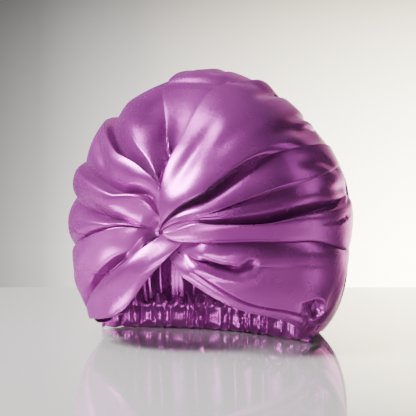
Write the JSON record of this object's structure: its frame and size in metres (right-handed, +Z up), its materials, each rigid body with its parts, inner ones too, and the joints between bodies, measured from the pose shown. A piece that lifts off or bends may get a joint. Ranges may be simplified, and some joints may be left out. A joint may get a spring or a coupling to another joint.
{
  "type": "sleep turban",
  "caption": "Puffed satin sleep turban with a half-twisted front, fanning pleats, an arched face opening and a gathered elastic casing at the nape.",
  "frame": {"origin": "centre of the bounding box's footprint, on the surface the turban stands on", "axes": "+Z up, -Y towards the face opening and the twist, +X to the right as seen from the front"},
  "size_m": [0.2815, 0.2664, 0.2639],
  "materials": {
    "satin": "glossy satin, woven fine, purple",
    "satin_casing": "glossy satin gathered over elastic, purple"
  },
  "bodies": {
    "root": {"wrap_right": "satin", "wrap_left": "satin", "band_left": "satin", "flap_right": "satin", "back_panel": "satin", "nape_casing": "satin_casing"}
  },
  "joints": []
}
